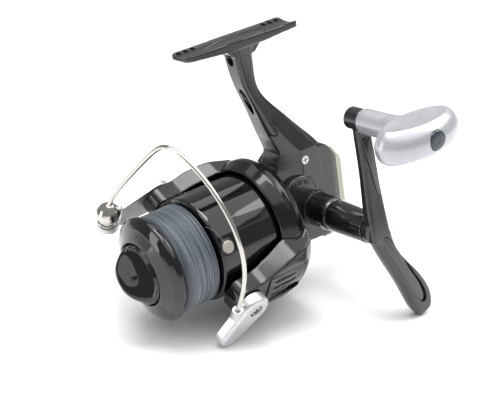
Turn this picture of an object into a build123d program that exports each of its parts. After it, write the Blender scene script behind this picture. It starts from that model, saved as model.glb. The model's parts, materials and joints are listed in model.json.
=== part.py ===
from build123d import *
import os
from math import asin, degrees, sqrt

# Spinning reel, in millimetres. The row frame has its origin at the centre of the foot's rod-side
# face, +X along the spool axis towards the spool's front, +Y towards the handle and +Z towards the rod.
# Everything is modelled in the axis frame, whose origin is on the spool axis straight below the foot
# centre, and it is moved down by FOOT_TO_AXIS when it is written.

FOOT_TO_AXIS = 101.3      # foot face to spool axis
FOOT_LENGTH = 70.0
FOOT_HALF_WIDTH = 8.5
SEAT_RADIUS = 18.2        # the trough that sits against the rod
CASE_HALF_WIDTH = 13.0
CASE_WALL = 2.0
CASE_FRONT = -8.0         # front plane of the gear case
HANDLE_X = -26.3          # the handle axis crosses the spool axis here
SHAFT_RADIUS = 1.75       # main shaft
RUNNING = 0.05            # radial clearance of running fits
SEAT_GAP = 0.03           # gap between pieces that are fixed to each other

MODULE = 0.75
PINION_TEETH = 8
DRIVE_TEETH = 38
WORM_GEAR_TEETH = 16
WORM_Y = -4.2

LIP_RADIUS = 28.3         # spool lip
SKIRT_RADIUS = 29.2
LINE_RADIUS = 26.4
CUP_INNER = 30.6          # rotor cup
CUP_OUTER = 35.0
ARM_INNER = 31.4          # rotor arms, measured from the spool axis
ARM_OUTER = 40.5
ARM_NOSE = 48.6           # front end of the rotor arms
BAIL_ANGLE = 61.0         # the rotor's rest position about the spool axis
PIVOT_X = 40.0            # bail pivot
PIVOT_OFF = -2.0          # the bail pivot line misses the spool axis by this much
WIRE_RADIUS = 1.25

CRANK_RADIUS = 58.5       # handle axis to knob axis
KNOB_X = -28.3
BOSS_END = 16.4           # the cover's bearing boss ends here
SLEEVE_START = 31.3
SLEEVE_END = 57.4
KNOB_START = 58.5
KNOB_END = 107.5

PINION_PITCH = MODULE * PINION_TEETH / 2
DRIVE_PITCH = MODULE * DRIVE_TEETH / 2
WORM_GEAR_PITCH = MODULE * WORM_GEAR_TEETH / 2
WORM_Z = -sqrt((PINION_PITCH + WORM_GEAR_PITCH) ** 2 - WORM_Y ** 2)

BAIL = Rot(BAIL_ANGLE, 0, 0)                       # local y is tangential, local z runs along the pivots
HANDLE = Pos(HANDLE_X, 0, 0) * Rot(0, 0, 90)       # local x runs along the handle axis
KNOB = Pos(KNOB_X, 0, CRANK_RADIUS) * Rot(0, 0, 90)

os.makedirs("parts", exist_ok=True)


def write(node, shape):
    moved = Pos(0, 0, -FOOT_TO_AXIS) * shape
    if len(moved.solids()) == 1:
        moved = moved.solids()[0]
    export_step(moved, f"parts/{node}.step")


def peg(radius, height):
    """A cylinder that stands on the local XY plane."""
    return Cylinder(radius, height, align=(Align.CENTER, Align.CENTER, Align.MIN))


def rod(x0, x1, radius):
    """A cylinder along X."""
    return Pos(x0, 0, 0) * Rot(0, 90, 0) * peg(radius, x1 - x0)


def ring(x0, x1, inner, outer):
    return rod(x0, x1, outer) - rod(x0 - 1, x1 + 1, inner)


def turned(*points):
    """A solid of revolution about X from (x, radius) points."""
    return revolve(make_face(Polyline(*points, close=True)), axis=Axis.X)


def upright(x, y, z0, z1, radius):
    """A cylinder along Z."""
    return Pos(x, y, z0) * peg(radius, z1 - z0)


def across(x, z, y0, y1, radius):
    """A cylinder along Y."""
    return Pos(x, 0, z) * Rot(0, 0, 90) * rod(y0, y1, radius)


def block(x0, x1, y0, y1, z0, z1):
    return Pos(x0, y0, z0) * Box(x1 - x0, y1 - y0, z1 - z0, align=(Align.MIN, Align.MIN, Align.MIN))


def spur(x0, x1, teeth, pitch, phase=0.0):
    """Straight teeth about X with generous backlash; phase is the first tooth's angle from +Y."""
    wheel = rod(x0, x1, pitch - 0.65)
    for count in range(teeth):
        wheel += Rot(phase + 360 / teeth * count, 0, 0) * radial_tooth(x0, x1, pitch - 0.8, pitch + 0.6)
    return wheel


def radial_tooth(x0, x1, root, tip, base=1.0, crest=0.5):
    """A tooth along X whose height runs along +Y."""
    outline = Polyline((root, -base / 2), (tip, -crest / 2), (tip, crest / 2), (root, base / 2), close=True)
    face = Plane(origin=(x0, 0, 0), x_dir=(0, 1, 0), z_dir=(1, 0, 0)) * make_face(outline)
    return extrude(face, x1 - x0)


def pan_screw(length, shank=1.2, head=2.3, head_height=1.3):
    """A cross-head screw along X; the head stands on x = 0 and the shank points to -X."""
    screw = rod(-length, 0.2, shank) + rod(0, head_height, head)
    for turn in (0, 90):
        screw -= Rot(turn, 0, 0) * block(head_height - 0.7, head_height + 1, -0.3, 0.3, -1.5, 1.5)
    return screw


# ---------------------------------------------------------------- gear case, stem and foot

CASE_CORNERS = [(CASE_FRONT, 26), (CASE_FRONT, -17.6), (-38, -19.7), (-53, -10), (-51.5, 15), (-39, 33.5)]
CASE_CORNERS += [(-15.5, 32)]
CASE_FILLETS = [3, 3, 12, 14, 12, 6, 5]
REAR_CORNER = 12.0        # plan radius of the case's rear corners
WEDGE_BOTTOM = 17.6       # above this height the case narrows towards the rotor
WEDGE_TOP = 46.0
WEDGE_REAR = -22.0        # the wedge reaches the case's full width here


def side_face(corners, fillets, grow=0.0):
    """A face in the XZ plane from corners and fillet radii."""
    line = FilletPolyline(*[(x, z) for x, z in corners], radius=fillets, close=True)
    flat = make_face(line)
    if grow:
        flat = offset(flat, amount=grow, kind=Kind.ARC)
    return flat


def side_solid(flat, y0, y1):
    """The XZ face extruded from y0 to y1."""
    plane = Plane(origin=(0, y1, 0), x_dir=(1, 0, 0), z_dir=(0, -1, 0))
    return extrude(plane * flat, y1 - y0)


def make_case_outline(grow=0.0):
    return side_face(CASE_CORNERS, CASE_FILLETS, grow)


def plan_limit(inset=0.0):
    """The case's plan: rounded rear corners, and a wedge towards the rotor above WEDGE_BOTTOM."""
    half = CASE_HALF_WIDTH - inset
    rear = -53.5 + inset
    corners = [(5, -half), (5, half), (rear, half), (rear, -half)]
    rear_corner = REAR_CORNER - inset
    lower = make_face(FilletPolyline(*corners, radius=[1, 1, rear_corner, rear_corner], close=True))
    tip = 5.9 - inset
    wedge = [(5, -tip), (5, tip), (-12, tip), (WEDGE_REAR, half), (rear, half)]
    wedge += [(rear, -half), (WEDGE_REAR, -half), (-12, -tip)]
    radii = [1, 1, 4, 4, rear_corner, rear_corner, 4, 4]
    upper = make_face(FilletPolyline(*wedge, radius=radii, close=True))
    split = WEDGE_BOTTOM - inset / 2
    return Pos(0, 0, -40) * extrude(lower, 40 + split) + Pos(0, 0, split) * extrude(upper, WEDGE_TOP - split)


def make_foot():
    top = FOOT_TO_AXIS
    half = FOOT_LENGTH / 2
    front_half = FOOT_HALF_WIDTH - 0.8
    corners = [(-half, top), (half, top), (half, top - 2.6), (14, top - 4.2), (-12, top - 4.6)]
    corners += [(-half, top - 2.9)]
    foot = side_solid(make_face(Polyline(*corners, close=True)), -FOOT_HALF_WIDTH, FOOT_HALF_WIDTH)
    plan = [(-half, -FOOT_HALF_WIDTH), (half, -front_half), (half, front_half), (-half, FOOT_HALF_WIDTH)]
    outline = make_face(FilletPolyline(*plan, radius=[2.5, 3.5, 3.5, 2.5], close=True))
    foot = foot & (Pos(0, 0, top - 12) * extrude(outline, 13))
    depth = 1.4
    foot -= Pos(0, 0, top - depth + SEAT_RADIUS) * rod(-half - 1, half + 1, SEAT_RADIUS)
    root = [(11.5, top - 3.6), (5.0, top - 9), (-7.0, top - 9), (-13, top - 3.6)]
    foot += side_solid(make_face(Polyline(*root, close=True)), -6.0, 6.0)
    return foot


def make_stem():
    """A leg that leans back from the foot to the gear case."""
    stations = [  # height, rear x, front x, half width
        (96.0, -7.4, 6.4, 6.6),
        (88.0, -5.8, 4.4, 6.0),
        (80.0, -5.8, 3.2, 5.6),
        (72.0, -7.2, 0.8, 5.6),
        (64.0, -12.2, -2.2, 6.2),
        (54.0, -21.0, -5.6, 7.4),
        (44.0, -29.5, -9.2, 9.0),
        (34.0, -38.0, -13.5, 11.0),
        (27.0, -43.0, -14.5, 12.0),
    ]
    sections = []
    for height, rear, front, half in stations:
        corner = 0.42 * min(half, (front - rear) / 2)
        shape = RectangleRounded(front - rear, 2 * half, corner)
        sections.append(Pos((front + rear) / 2, 0, height) * shape)
    return loft(sections)


def make_housing():
    case = side_solid(make_case_outline(), -CASE_HALF_WIDTH, CASE_HALF_WIDTH)
    case = fillet(case.faces().sort_by(Axis.Y)[0].edges(), 4.0)
    stem = make_stem()
    lower = block(-70, 20, -30, 30, -40, WEDGE_TOP)
    case = (case + (stem & lower)) & plan_limit()
    case += stem - lower
    case += make_foot()
    case += rod(CASE_FRONT - 1, -0.8, 11.0)
    cavity = side_solid(make_case_outline(-CASE_WALL), -CASE_HALF_WIDTH + CASE_WALL, CASE_HALF_WIDTH + 1)
    case -= cavity & block(-60, CASE_FRONT - CASE_WALL, -20, 20, -30, 27) & plan_limit(CASE_WALL)
    cover_space = side_solid(make_case_outline(2.5), COVER_SPLIT, CASE_HALF_WIDTH + 8)
    case -= cover_space & block(-70, 10, 0, 40, -40, COVER_TOP)
    case -= rod(-12, 0, 3.9)
    case -= rod(-9.6, -6.3, 7.0 + SEAT_GAP)
    case -= rod(-6.4, 0, 8.5 + SEAT_GAP)
    for x, z in COVER_SCREWS:
        post = across(x, z, -CASE_HALF_WIDTH + 1, COVER_SPLIT, 2.5)
        case += post & side_solid(make_case_outline(-0.5), -20, 20) & plan_limit(0.5)
    tail = Pos(0, WORM_Y, WORM_Z) * rod(-52, WORM_TAIL + 1.6, 3.4)
    case += tail & side_solid(make_case_outline(-0.5), -20, 20) & plan_limit(0.5)
    for x, z in COVER_SCREWS:
        case -= across(x, z, 1.0, 20, 1.25)
    case -= upright(LEVER_X, 0, -30, -15, LEVER_STEM + RUNNING)
    for angle in RETAINER_ANGLES:
        case -= Rot(angle, 0, 0) * (Pos(0, 9.7, 0) * rod(-4.6, 0, 0.75))
    case -= Pos(0, WORM_Y, WORM_Z) * rod(WORM_TAIL - 0.2, -9.0, 2.0 + RUNNING)
    case -= Pos(0, GUIDE_Y, GUIDE_Z) * rod(GUIDE_TAIL - 0.1, -9.0, GUIDE_RADIUS + SEAT_GAP)
    return case


COVER_SPLIT = 8.9         # the cover's seam in the case
COVER_TOP = 33.0
COVER_SCREWS = [(-24.4, 28.4), (-11.2, -14.2), (-40.5, -14.9)]
LEVER_X = -20.0
LEVER_STEM = 1.6
GUIDE_Y = -5.5
GUIDE_Z = 7.5
GUIDE_RADIUS = 1.2
RETAINER_ANGLES = (30, 150, 270)
WORM_TAIL = -49.4
GUIDE_TAIL = -50.3


def make_cover():
    inner_face = 11.0
    plate = side_solid(make_case_outline(), COVER_SPLIT + SEAT_GAP, CASE_HALF_WIDTH)
    plate = plate & block(-70, 10, 0, 40, -40, COVER_TOP - SEAT_GAP) & plan_limit()
    hollow = side_solid(make_case_outline(-CASE_WALL), 0, inner_face)
    hollow = hollow & block(-60, CASE_FRONT - CASE_WALL, -20, 20, -30, 27) & plan_limit(CASE_WALL)
    cover = plate - hollow
    cover += HANDLE * rod(9.3, BOSS_END, 9.6)
    cover -= HANDLE * rod(0, 30, 5.6)
    cover -= HANDLE * rod(0, 12.5, 7.0 + SEAT_GAP)
    cover -= HANDLE * rod(13.1, 30, 7.0 + SEAT_GAP)
    for x, z in COVER_SCREWS:
        boss = across(x, z, COVER_SPLIT + SEAT_GAP, 12.4, 2.9)
        cover += boss & side_solid(make_case_outline(-0.5), 0, 20) & plan_limit(0.5)
        cover -= across(x, z, 0, 20, 1.35)
        cover -= across(x, z, 11.9, 20, 2.45)
    return cover


def make_cover_screws():
    screws = []
    for x, z in COVER_SCREWS:
        screw = pan_screw(9.5, shank=1.2, head=2.3, head_height=1.3)
        screws.append(Pos(x, 11.95, z) * Rot(0, 0, 90) * screw)
    return Compound(children=screws)


def make_rear_guard():
    """A thin shell round the back of the case, from the stem root to the ribbed belly."""
    reach = 12.4
    outer = side_solid(make_case_outline(GUARD_WALL), -reach, reach) & plan_limit(-GUARD_WALL)
    inner = side_solid(make_case_outline(SEAT_GAP), -20, 20) & plan_limit(-SEAT_GAP)
    band = (outer - inner) & block(-60, -32, -reach, reach, -30, 29)
    for count in range(5):
        band -= across(-38.5 + 2.6 * count, -21.9 + 0.18 * count, -20, 20, 0.8)
    return band


GUARD_WALL = 1.6


def make_trim():
    """A curved badge plate on the cover, above the boss."""
    arc = HANDLE * ring(CASE_HALF_WIDTH + SEAT_GAP, CASE_HALF_WIDTH + 0.9, 10.4, 15.6)
    corners = [(HANDLE_X, 0), (HANDLE_X + 30, 6), (HANDLE_X + 20, 30), (HANDLE_X - 9, 30)]
    wedge = make_face(Polyline(*corners, close=True))
    return arc & side_solid(wedge, 5, 20)


# ---------------------------------------------------------------- gear train

def make_drive_gear():
    gear = ring(6.4, 8.6, 4.0 + SEAT_GAP, 16.0)
    gear += ring(2.9, 9.0, 4.0 + SEAT_GAP, 6.4)
    gear += ring(4.15, 8.6, 12.7, 16.2)
    for count in range(6):
        gear -= Rot(60 * count, 0, 0) * (Pos(0, 9.5, 0) * rod(6, 9, 1.6))
    half_pitch = 180 / DRIVE_TEETH
    for count in range(DRIVE_TEETH):
        outline = Polyline((4.3, -0.5), (2.75, -0.25), (2.75, 0.25), (4.3, 0.5), close=True)
        face = Plane(origin=(0, 13.0, 0), x_dir=(1, 0, 0), z_dir=(0, 1, 0)) * make_face(outline)
        gear += Rot(180 + half_pitch + 2 * half_pitch * count, 0, 0) * extrude(face, 2.6)
    return HANDLE * gear


def make_drive_shaft():
    shaft = turned((2.9, 0), (2.9, 4.0), (9.1, 4.0), (9.1, 4.4), (9.35, 4.4), (9.35, 4.0), (17.4, 4.0),
                   (17.4, 0))
    shaft -= rod(8, 18, 2.6)
    return HANDLE * shaft


def make_bearing(x0, x1, inner, outer):
    """A shielded ball bearing drawn as one closed ring with shield grooves."""
    width = outer - inner
    groove = 0.25 * width
    solid = ring(x0, x1, inner, outer)
    for side in (x0 - 1, x1 - 0.2):
        solid -= ring(side, side + 1.2, inner + groove, outer - groove)
    return solid


def make_drive_bearings():
    first = HANDLE * make_bearing(9.45, 12.45, 4.0 + RUNNING, 7.0)
    second = HANDLE * make_bearing(13.15, 16.15, 4.0 + RUNNING, 7.0)
    return Compound(children=[first, second])


def make_pinion():
    gear = spur(-17.0, -10.2, PINION_TEETH, PINION_PITCH)
    gear += rod(-10.4, 9.2, 3.4)
    gear -= rod(-30, 30, SHAFT_RADIUS + RUNNING)
    return gear


def make_clutch_rollers():
    rollers = []
    for count in range(8):
        rollers.append(Rot(45 * count, 0, 0) * (Pos(0, 5.45, 0) * rod(-5.6, -1.8, 0.78)))
    return Compound(children=rollers)


def make_retainer():
    plate = ring(-0.75, 0.1, 5.2, 10.9)
    for angle in RETAINER_ANGLES:
        plate -= Rot(angle, 0, 0) * (Pos(0, 9.7, 0) * rod(-3, 3, 0.8))
    return plate


def make_retainer_screws():
    screws = []
    for angle in RETAINER_ANGLES:
        body = rod(-4.2, 0.3, 0.7) + rod(0.13, 0.6, 1.15)
        screws.append(Rot(angle, 0, 0) * (Pos(0, 9.7, 0) * body))
    return Compound(children=screws)


def make_worm_shaft():
    """The crossed-groove shaft that drives the spool's stroke, with its gear at the front."""
    gear = spur(-16.2, -14.0, WORM_GEAR_TEETH, WORM_GEAR_PITCH)
    shaft = gear + rod(WORM_TAIL, -9.2, 2.0) + rod(-47.4, -26.0, 2.6)
    for start in (-1, 1):
        for count in range(5):
            x = -45.0 + 4.2 * count
            slot = Pos(x, 0, 0) * Rot(0, 0, 20 * start) * ring(-0.5, 0.5, 2.1, 4.5)
            shaft -= slot
    return Pos(0, WORM_Y, WORM_Z) * (Rot(MESH_TURN, 0, 0) * shaft)


def worm_mesh_turn():
    """Turns the worm gear so that a gap faces the pinion while a pinion gap's neighbour tooth fills it."""
    line = degrees(asin(-WORM_Z / (PINION_PITCH + WORM_GEAR_PITCH)))
    from_pinion = 180 + line                      # direction from the pinion to the worm gear
    pinion_step = 360 / PINION_TEETH
    nearest = round(from_pinion / pinion_step) * pinion_step
    off = from_pinion - nearest
    back = from_pinion + 180
    worm_step = 360 / WORM_GEAR_TEETH
    return back + worm_step / 2 + off * PINION_TEETH / WORM_GEAR_TEETH


MESH_TURN = worm_mesh_turn()


def make_guide_rod():
    return Pos(0, GUIDE_Y, GUIDE_Z) * rod(GUIDE_TAIL, -9.2, GUIDE_RADIUS)


def make_slider():
    """The crosshead on the main shaft's tail that follows the worm and the guide rod."""
    x0 = SLIDER_X - 2.6
    x1 = SLIDER_X + 2.6
    solid = block(x0, x1, -7.9, 2.4, -3.0, 3.0)
    solid += block(x0, x1, -7.9, -0.8, WORM_Z - 3.4, 1.0)
    solid += block(x0, x1, -7.9, -2.8, 0.0, GUIDE_Z + 2.4)
    solid -= rod(-60, 0, 1.5 + SEAT_GAP)
    solid -= Pos(0, WORM_Y, WORM_Z) * rod(-60, 0, 2.6 + RUNNING)
    solid -= Pos(0, GUIDE_Y, GUIDE_Z) * rod(-60, 0, GUIDE_RADIUS + RUNNING)
    solid -= block(x0 - 1, x0 + 1.0, -2.2, 3.0, -2.2, 2.2)
    relief = Box(2.6, 30, 2.6)
    return solid - Pos(x0, 0, WORM_Z - 3.4) * Rot(0, 45, 0) * relief


SLIDER_X = -36.6


def make_lever():
    """The anti-reverse switch under the case."""
    lever = upright(LEVER_X, 0, -20.8, -15.4, LEVER_STEM)
    lever += upright(LEVER_X, 0, -16.0, -15.2, 2.4)
    corners = [(-3.6, -3.2), (3.6, -3.2), (3.0, 9.5), (-3.0, 9.5)]
    foot = make_face(FilletPolyline(*corners, radius=2.4, close=True))
    lever += Pos(LEVER_X, 0, -21.2) * extrude(foot, 2.0)
    return lever


# ---------------------------------------------------------------- rotor, bail and line roller

BAIL_TAPER = [(-6, 31), (2, 36.5), (14, 40.5), (30, ARM_OUTER + 2)]
COUNTER_TAPER = [(-6, 32), (-2, 38), (4, 41.5), (12, ARM_OUTER + 2)]


def arm_blank(taper):
    """One rotor arm in the bail frame, on the +z side; the taper gives x and radius."""
    corners = [(-5.5, -19), (12, -19), (32, PIVOT_OFF - 9.6), (ARM_NOSE, PIVOT_OFF - 8.6)]
    corners += [(ARM_NOSE, PIVOT_OFF + 8.6), (32, PIVOT_OFF + 10.4), (12, 17), (-5.5, 17)]
    flat = make_face(FilletPolyline(*corners, radius=[1, 16, 14, 7.5, 7.5, 14, 16, 1], close=True))
    arm = Pos(0, 0, 24) * extrude(flat, ARM_OUTER - 24)
    return arm & turned((-6, 0), *taper, (60, ARM_OUTER + 2), (60, 0))


def make_rotor():
    cup = turned((-5.5, 11.6), (-5.5, 26), (-3.0, 32.2), (1.5, CUP_OUTER), (5.0, CUP_OUTER), (11.3, 32.0),
                 (11.3, CUP_INNER), (-3.0, CUP_INNER), (-3.0, 14.0), (4.4, 14.0), (4.4, 3.4 + SEAT_GAP),
                 (0.9, 3.4 + SEAT_GAP), (0.9, 11.6))
    for side in (0, 180):
        arm = arm_blank(BAIL_TAPER)
        if side:
            arm = Rot(side, 0, 0) * mirror(arm_blank(COUNTER_TAPER), Plane.XZ)
        cup += arm - rod(-3.0, 60, ARM_INNER) - rod(-10, -2.9, 26)
    cup -= rod(-3.0, 11.4, CUP_INNER) - rod(-3.1, 4.4, 14.0)
    for side in (1, -1):
        pocket = block(2.0, 27.5, PIVOT_OFF / 2 - 9.5, PIVOT_OFF / 2 + 9.5, 34.6, 50)
        pivot = Pos(PIVOT_X, PIVOT_OFF, 30) * Cylinder(1.6, 30)
        for cut in (pocket, pivot):
            cup -= cut if side == 1 else mirror(cut, Plane.XY)
    return BAIL * cup


def arm_cover(side, slotted):
    """The lid over the pocket of one rotor arm."""
    low = 36.0
    lid = block(2.05, 27.45, PIVOT_OFF / 2 - 9.45, PIVOT_OFF / 2 + 9.45, low, 50)
    crown = ARM_OUTER + 0.3
    slope = 36.9 if side == 1 else 40.0
    lid = lid & turned((2, 0), (2, slope), (14, 40.8), (28, crown + 0.9), (28, 0))
    lid = lid & block(0, 28, -20, 20, 30, crown)
    lid -= block(5.0, 25.4, PIVOT_OFF / 2 - 7.4, PIVOT_OFF / 2 + 7.4, 30, crown - 1.6)
    if slotted:
        for y in (-6.2, -1.0, 4.2):
            lid -= block(7.0, 24.0, y - 0.9, y + 0.9, ARM_OUTER - 0.2, 60)
    for y in (PIVOT_OFF / 2 - 7.6, PIVOT_OFF / 2 + 7.6):
        lid -= Pos(3.6, y, 45) * Cylinder(0.55, 40)
    return BAIL * (lid if side == 1 else mirror(lid, Plane.XY))


def make_arm_cover_screws():
    screws = []
    for side in (1, -1):
        for y in (PIVOT_OFF / 2 - 7.6, PIVOT_OFF / 2 + 7.6):
            body = Pos(3.6, y, 34.7) * peg(0.5, 2.6)
            screws.append(BAIL * (body if side == 1 else mirror(body, Plane.XY)))
    return Compound(children=screws)


def make_bail_spring():
    """The over-centre coil spring in one arm pocket, drawn as a ribbed barrel."""
    spring = rod(6.0, 24.0, 1.2)
    for count in range(9):
        spring += rod(6.3 + 2.0 * count, 7.5 + 2.0 * count, 1.8)
    return BAIL * (Pos(0, PIVOT_OFF / 2, 36.6) * spring)


def make_trip_lever():
    """The crank-shaped rod that flips the bail shut when the handle turns."""
    return BAIL * (block(5.4, 25.0, -3.6, 1.6, -37.0, -34.8) + block(5.4, 8.4, -3.6, 1.6, -38.4, -34.8))


def make_rotor_nut():
    nut = extrude(RegularPolygon(5.6, 6), 3.4)
    nut = Pos(4.45, 0, 0) * Rot(0, 90, 0) * nut
    return nut - rod(0, 20, 3.4 + SEAT_GAP)


def hull_plate(a, b, z0, z1):
    """A plate round two circles, each given as x, y and radius, between two heights."""
    edges = []
    for x, y, radius in (a, b):
        edges.extend((Pos(x, y, 0) * Circle(radius)).edges())
    return Pos(0, 0, z0) * extrude(make_hull(edges), z1 - z0)


ROLLER_X = 69.0
ROLLER_Z = 44.0
ROLLER_BASE = -12.4


def make_bail_lever():
    """The roller side's lever, outside its rotor arm."""
    flange_top = ROLLER_BASE + 3.2
    lever = hull_plate((PIVOT_X, PIVOT_OFF, 9.4), (61.0, -6.6, 6.6), ARM_OUTER + 0.6, ARM_OUTER + 3.8)
    lever += stacked(ROLLER_BASE, flange_top, 6.3)
    lever -= stacked(flange_top, 30, 7.3)
    lever -= stacked(-30, 30, 1.15)
    lever -= Pos(PIVOT_X, PIVOT_OFF, 40) * Cylinder(2.0 + RUNNING, 30)
    return BAIL * lever


def stacked(y0, y1, radius):
    """A cylinder on the line roller's axis."""
    post = peg(radius, y1 - y0)
    return Pos(ROLLER_X, y0, ROLLER_Z) * Rot(-90, 0, 0) * post


def roller_turned(*points):
    """A solid of revolution on the line roller's axis from (height, radius) points."""
    return Pos(ROLLER_X, 0, ROLLER_Z) * Rot(0, 0, 90) * turned(*points)


def make_roller_bush():
    base = ROLLER_BASE + 3.2
    return BAIL * (stacked(base + 0.02, base + 4.9, 2.6) - stacked(base - 1, base + 6, 1.1 + SEAT_GAP))


def make_line_roller():
    base = ROLLER_BASE + 3.4
    body = roller_turned((base, 2.65), (base, 5.4), (base + 0.8, 5.4), (base + 1.7, 4.2), (base + 2.9, 4.2),
                         (base + 3.8, 5.4), (base + 4.5, 5.4), (base + 4.5, 2.65))
    return BAIL * body


def make_roller_cap():
    """The cone that the wire grows out of."""
    base = ROLLER_BASE + 8.12
    body = roller_turned((base, 0), (base, 6.6), (base + 2.0, 6.8), (base + 5.0, 5.9), (base + 7.2, 3.9),
                         (base + 8.4, 1.6), (base + 8.4, 0))
    body -= stacked(base - 1, base + 3.0, 1.1 + SEAT_GAP)
    return BAIL * body


def make_roller_screw():
    base = ROLLER_BASE
    return BAIL * (stacked(base - 1.2, base - 0.03, 2.6) + stacked(base - 0.1, base + 10.8, 1.1))


def make_counter_arm():
    """The lever on the other side; the wire ends in a socket in its front edge."""
    outer = -ARM_OUTER - 6.9
    plate = hull_plate((PIVOT_X, PIVOT_OFF, 8.4), (52.5, -17.0, 6.0), outer, -ARM_OUTER - 0.6)
    plate = fillet(plate.faces().sort_by(Axis.Z)[0].edges(), 2.0)
    wire_x, wire_y, wire_z = WIRE_END
    plate += Pos(wire_x, wire_y + 4.0, wire_z) * Rot(-90, 0, 0) * peg(2.9, 6.0)
    plate -= Pos(wire_x, wire_y - 0.1, wire_z) * Rot(-90, 0, 0) * peg(WIRE_RADIUS + SEAT_GAP, 20.0)
    plate -= Pos(PIVOT_X, PIVOT_OFF, -45) * Cylinder(2.0 + RUNNING, 30)
    plate -= Pos(PIVOT_X, PIVOT_OFF, outer) * Cylinder(3.7, 6.0)
    return BAIL * plate


WIRE_END = (50.0, -8.0, -43.6)
WIRE_ROUTE = [(69.0, 4.2, 44.0), (69.0, 8.6, 44.0), (57.6, 63.0, 24.0), (52.6, 61.5, -3.0)]
WIRE_ROUTE += [(48.8, 50.0, -27.0), (47.6, 30.0, -40.5), (50.0, 10.0, -43.6), (50.0, -8.0, -43.6)]


def make_wire():
    path = FilletPolyline(*[Vector(*point) for point in WIRE_ROUTE], radius=[10, 11, 26, 26, 26, 40])
    start = Plane(origin=path @ 0, z_dir=path % 0)
    return BAIL * sweep(start * Circle(WIRE_RADIUS), path=path)


def make_pivot_screws():
    screws = []
    for side in (1, -1):
        head = 3.85 if side == 1 else 3.0
        body = Pos(0, 0, ARM_OUTER + 0.65) * peg(2.0, 3.3)
        body += Pos(0, 0, ARM_OUTER + 3.95) * peg(3.5, 1.5)
        body += Pos(0, 0, ARM_INNER + 1.2) * peg(1.55, 9.0)
        body -= Pos(0, 0, ARM_OUTER + 5.2) * Box(0.8, 5.0, 1.2)
        body = Pos(PIVOT_X, PIVOT_OFF, 0) * body
        screws.append(BAIL * (body if side == 1 else mirror(body, Plane.XY)))
    return Compound(children=screws)


# ---------------------------------------------------------------- spool, drag and main shaft

def make_main_shaft():
    tail = SLIDER_X - 4.0
    shaft = turned((tail, 0), (tail, 1.5), (SLIDER_X + 3.0, 1.5), (SLIDER_X + 3.0, SHAFT_RADIUS),
                   (84.0, SHAFT_RADIUS), (84.5, 1.3), (84.5, 0))
    return shaft - Pos(SEAT_PIN_X, 0, 0) * Cylinder(0.8, 10)


def make_slider_screw():
    return rod(SLIDER_X - 5.4, SLIDER_X - 4.02, 2.0)


def make_spool():
    """Skirt, rear flange, arbor and front lip in one turned piece."""
    bore = SHAFT_RADIUS + 0.4
    skirt = [(6.0, SKIRT_RADIUS - 1.5), (6.0, SKIRT_RADIUS), (30.0, SKIRT_RADIUS - 0.3), (45.5, 28.3)]
    rear_flange = [(46.6, 27.6), (47.4, 21.0), (68.6, 21.0)]
    lip = [(69.6, 27.4), (70.6, LIP_RADIUS), (72.4, LIP_RADIUS), (74.6, 26.6), (77.4, 20.5), (78.8, 17.2)]
    drag_cup = [(78.4, 16.9), (74.0, 16.9), (74.0, 14.0), (60.0, 14.0)]
    hub = [(60.0, bore), (52.0, bore), (52.0, 6.0)]
    inside = [(56.0, 18.8), (46.4, 18.8), (44.2, 26.8)]
    profile = skirt + rear_flange + lip + drag_cup + hub + inside
    spool = turned(*profile)
    slots = []
    for angle in (0, 120, 240):
        slots.append(Rot(angle, 0, 0) * block(60.0, 70.0, 13.0, 15.2, -1.6, 1.6))
    for slot in slots:
        spool -= slot
    return spool


def make_line():
    """The wound line, one closed ring on the arbor."""
    return turned((47.9, 21.05), (47.9, LINE_RADIUS - 0.9), (49.4, LINE_RADIUS), (58.0, LINE_RADIUS + 0.25),
                  (66.6, LINE_RADIUS), (68.2, LINE_RADIUS - 0.9), (68.2, 21.05))


def make_line_clip():
    """A round sprung clip on the skirt."""
    disc = peg(3.5, 1.3)
    clip = Rot(CLIP_ANGLE, 0, 0) * (Pos(CLIP_X, 0, SKIRT_RADIUS - 0.62) * disc)
    return clip


CLIP_X = 42.2
CLIP_ANGLE = -72.0


def make_drag_felts():
    felts = []
    for count in range(3):
        x = 60.05 + 3.0 * count
        felts.append(ring(x, x + 1.2, 3.4, 13.2))
    return Compound(children=felts)


def make_keyed_washers():
    washers = []
    for count in range(2):
        x = 61.3 + 3.0 * count
        washers.append(ring(x, x + 0.8, SHAFT_RADIUS + SEAT_GAP, 12.6))
    return Compound(children=washers)


def make_eared_washers():
    washers = []
    for count in range(2):
        x = 62.15 + 3.0 * count
        washer = ring(x, x + 0.8, 3.0, 13.4)
        for angle in (0, 120, 240):
            washer += Rot(angle, 0, 0) * block(x, x + 0.8, 13.0, 14.8, -1.3, 1.3)
        washers.append(washer)
    return Compound(children=washers)


def make_drag_retainer():
    clip = ring(68.2, 69.2, 12.4, 13.9)
    return clip - block(60, 80, 10, 20, -1.2, 1.2)


def make_spool_seat():
    """The spool rests on this collar, which a cross pin holds on the shaft."""
    bore = SHAFT_RADIUS + SEAT_GAP
    seat = turned((44.0, bore), (44.0, 5.2), (51.0, 5.2), (51.9, 3.4), (51.9, bore))
    return seat - Pos(SEAT_PIN_X, 0, 0) * Cylinder(0.8, 20)


SEAT_PIN_X = 49.0


def make_seat_pin():
    return Pos(SEAT_PIN_X, 0, 0) * Cylinder(0.75, 9.8)


def make_click_gear():
    gear = rod(41.4, 43.4, 7.0)
    for count in range(20):
        gear += Rot(18 * count, 0, 0) * radial_tooth(41.4, 43.4, 6.8, 8.4, base=1.2, crest=0.6)
    return gear - rod(40, 45, SHAFT_RADIUS + SEAT_GAP)


def make_click_pawl():
    return block(44.3, 45.4, 9.2, 18.2, -1.4, 1.4)


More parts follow.
